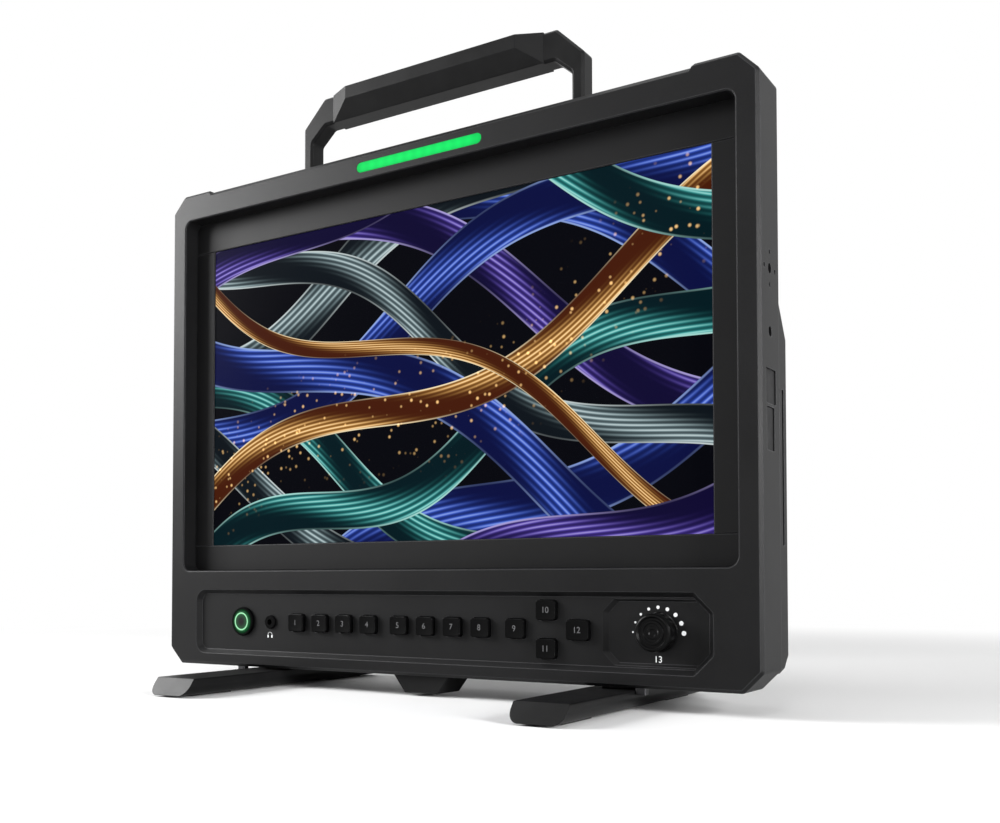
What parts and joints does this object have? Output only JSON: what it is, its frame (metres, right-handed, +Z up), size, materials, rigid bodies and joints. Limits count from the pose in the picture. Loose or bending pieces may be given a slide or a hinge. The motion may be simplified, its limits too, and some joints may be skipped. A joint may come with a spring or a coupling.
{
  "type": "production monitor",
  "caption": "Field production monitor with a deep screen recess, carry handle, row of keys, power button, push and turn menu knob, tally light bar, swing feet and stand mounts.",
  "frame": {"origin": "on the ground under the middle of the feet and of the body's width", "axes": "+X to the right seen from the front, +Y from the screen to the back, +Z up"},
  "size_m": [0.4002, 0.174, 0.3651],
  "materials": {
    "frame_paint": "fine textured black paint",
    "cover_paint": "fine textured black paint",
    "handle_paint": "satin black paint",
    "foot_paint": "satin black paint",
    "trim_black": "matt black",
    "screen": "laminated cover glass",
    "panel": "liquid crystal cell",
    "backlight": "moulded tray",
    "sheet_steel": "zinc plated sheet",
    "screw_steel": "blackened steel",
    "board": "circuit board",
    "heatsink": "plain extrusion",
    "tally_green": "clear green diffuser",
    "light_green": "lit ring",
    "key_black": "fine matt key cap",
    "silicone": "silicone sheet",
    "button_black": "black anodised",
    "socket_black": "moulded socket",
    "nickel": "nickel plated",
    "knob_black": "black anodised, turned",
    "brass": "contact pin",
    "rubber": "soft black rubber"
  },
  "bodies": {
    "monitor": {"front_frame": "frame_paint", "side_port_covers": "rubber", "top_trim": "trim_black", "bottom_trim": "trim_black", "left_trim": "trim_black", "right_trim": "trim_black", "screen_glass": "screen", "lcd_panel": "panel", "backlight_tray": "backlight", "panel_bracket": "sheet_steel", "inner_screws": "screw_steel", "tally_lens": "tally_green", "tally_board": "board", "key_mat": "silicone", "key_board": "board", "power_button_body": "button_black", "power_button_nut": "nickel", "headphone_jack": "socket_black", "headphone_nut": "nickel", "encoder_body": "sheet_steel", "encoder_nut": "nickel", "rear_cover": "cover_paint", "cover_screws": "screw_steel", "main_board": "board", "board_standoffs": "brass", "heatsink": "heatsink", "io_board": "board", "coax_sockets": "nickel", "video_sockets": "sheet_steel", "dc_inlet": "socket_black", "dc_inlet_pins": "brass", "handle": "handle_paint", "handle_screws": "screw_steel", "foot_pivot_screws": "screw_steel", "foot_washers": "socket_black", "foot_stops": "screw_steel", "bottom_mount": "foot_paint", "bottom_mount_screws": "screw_steel"},
    "key_1": {"key_1": "key_black"},
    "key_2": {"key_2": "key_black"},
    "key_3": {"key_3": "key_black"},
    "key_4": {"key_4": "key_black"},
    "key_5": {"key_5": "key_black"},
    "key_6": {"key_6": "key_black"},
    "key_7": {"key_7": "key_black"},
    "key_8": {"key_8": "key_black"},
    "key_9": {"key_9": "key_black"},
    "key_10": {"key_10": "key_black"},
    "key_11": {"key_11": "key_black"},
    "key_12": {"key_12": "key_black"},
    "power_cap": {"power_button_cap": "button_black", "power_light_ring": "light_green"},
    "menu_switch": {"encoder_plunger": "socket_black"},
    "menu_dial": {"menu_knob": "knob_black", "encoder_shaft": "sheet_steel"},
    "left_foot": {"left_foot": "foot_paint", "left_foot_pads": "rubber"},
    "right_foot": {"right_foot": "foot_paint", "right_foot_pads": "rubber"}
  },
  "joints": [
    {"name": "key_1_press", "type": "slide", "parent": "monitor", "child": "key_1", "axis": [0, 1, 0], "range_m": [0, 0.001], "stiffness_N_per_m": 600},
    {"name": "key_2_press", "type": "slide", "parent": "monitor", "child": "key_2", "axis": [0, 1, 0], "range_m": [0, 0.001], "stiffness_N_per_m": 600},
    {"name": "key_3_press", "type": "slide", "parent": "monitor", "child": "key_3", "axis": [0, 1, 0], "range_m": [0, 0.001], "stiffness_N_per_m": 600},
    {"name": "key_4_press", "type": "slide", "parent": "monitor", "child": "key_4", "axis": [0, 1, 0], "range_m": [0, 0.001], "stiffness_N_per_m": 600},
    {"name": "key_5_press", "type": "slide", "parent": "monitor", "child": "key_5", "axis": [0, 1, 0], "range_m": [0, 0.001], "stiffness_N_per_m": 600},
    {"name": "key_6_press", "type": "slide", "parent": "monitor", "child": "key_6", "axis": [0, 1, 0], "range_m": [0, 0.001], "stiffness_N_per_m": 600},
    {"name": "key_7_press", "type": "slide", "parent": "monitor", "child": "key_7", "axis": [0, 1, 0], "range_m": [0, 0.001], "stiffness_N_per_m": 600},
    {"name": "key_8_press", "type": "slide", "parent": "monitor", "child": "key_8", "axis": [0, 1, 0], "range_m": [0, 0.001], "stiffness_N_per_m": 600},
    {"name": "key_9_press", "type": "slide", "parent": "monitor", "child": "key_9", "axis": [0, 1, 0], "range_m": [0, 0.001], "stiffness_N_per_m": 600},
    {"name": "key_10_press", "type": "slide", "parent": "monitor", "child": "key_10", "axis": [0, 1, 0], "range_m": [0, 0.001], "stiffness_N_per_m": 600},
    {"name": "key_11_press", "type": "slide", "parent": "monitor", "child": "key_11", "axis": [0, 1, 0], "range_m": [0, 0.001], "stiffness_N_per_m": 600},
    {"name": "key_12_press", "type": "slide", "parent": "monitor", "child": "key_12", "axis": [0, 1, 0], "range_m": [0, 0.001], "stiffness_N_per_m": 600},
    {"name": "power_press", "type": "slide", "parent": "monitor", "child": "power_cap", "axis": [0, 1, 0], "range_m": [0, 0.0015], "stiffness_N_per_m": 1500},
    {"name": "menu_press", "type": "slide", "parent": "monitor", "child": "menu_switch", "axis": [0, 1, 0], "range_m": [0, 0.0005], "stiffness_N_per_m": 4000},
    {"name": "menu_turn", "type": "hinge", "parent": "menu_switch", "child": "menu_dial", "pos_m": [0.146, -0.013, 0.0398], "axis": [0, 1, 0], "continuous": true},
    {"name": "left_foot_swing", "type": "hinge", "parent": "monitor", "child": "left_foot", "pos_m": [-0.119, 0.008, 0], "axis": [0, 0, 1], "range_deg": [0, 90]},
    {"name": "right_foot_swing", "type": "hinge", "parent": "monitor", "child": "right_foot", "pos_m": [0.119, 0.008, 0], "axis": [0, 0, 1], "range_deg": [-90, 0]}
  ]
}
